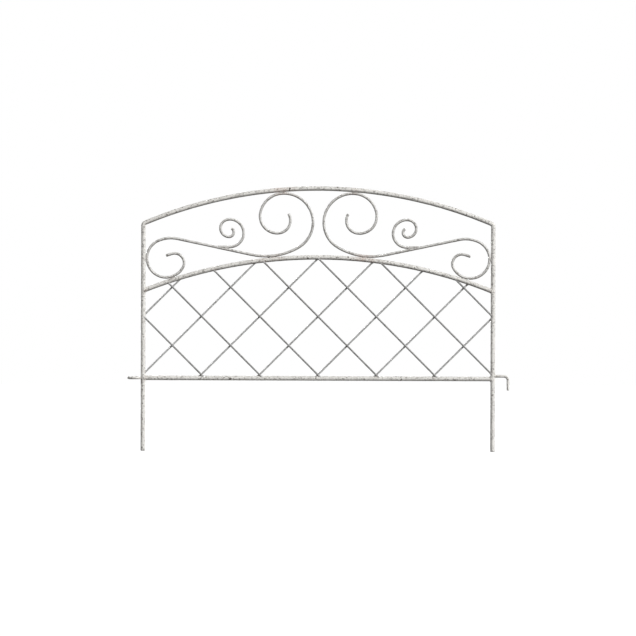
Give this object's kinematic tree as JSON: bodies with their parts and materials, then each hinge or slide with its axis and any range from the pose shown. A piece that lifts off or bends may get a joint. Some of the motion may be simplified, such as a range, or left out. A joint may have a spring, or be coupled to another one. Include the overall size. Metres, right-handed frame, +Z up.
{
  "type": "garden edging fence panel",
  "caption": "Bow-topped wire fence panel with a diamond lattice and scrolls, legs to push into soil, and an eye and a hook that link to the next panel.",
  "frame": {"origin": "middle of the left leg's cut bottom end, which is pushed into the soil", "axes": "+X along the fence from the left leg to the right one, +Y to the back, +Z up"},
  "size_m": [0.666, 0.0234, 0.4619],
  "materials": {
    "frame_paint": "antique white enamel, mottled grey, satin",
    "scroll_paint": "thin antique white enamel, mottled grey, satin",
    "lattice_paint": "thin antique white enamel rubbed to grey, satin"
  },
  "bodies": {
    "root": {"outer_frame": "frame_paint", "bottom_rail": "frame_paint", "lower_arch": "frame_paint", "left_scroll": "scroll_paint", "right_scroll": "scroll_paint", "curls": "scroll_paint", "link_eye": "frame_paint", "link_hook": "frame_paint", "front_wire_1": "lattice_paint", "front_wire_2": "lattice_paint", "front_wire_3": "lattice_paint", "front_wire_4": "lattice_paint", "front_wire_5": "lattice_paint", "front_wire_6": "lattice_paint", "front_wire_7": "lattice_paint", "back_wire_1": "lattice_paint", "back_wire_2": "lattice_paint", "back_wire_3": "lattice_paint", "back_wire_4": "lattice_paint", "back_wire_5": "lattice_paint", "back_wire_6": "lattice_paint", "back_wire_7": "lattice_paint"}
  },
  "joints": []
}
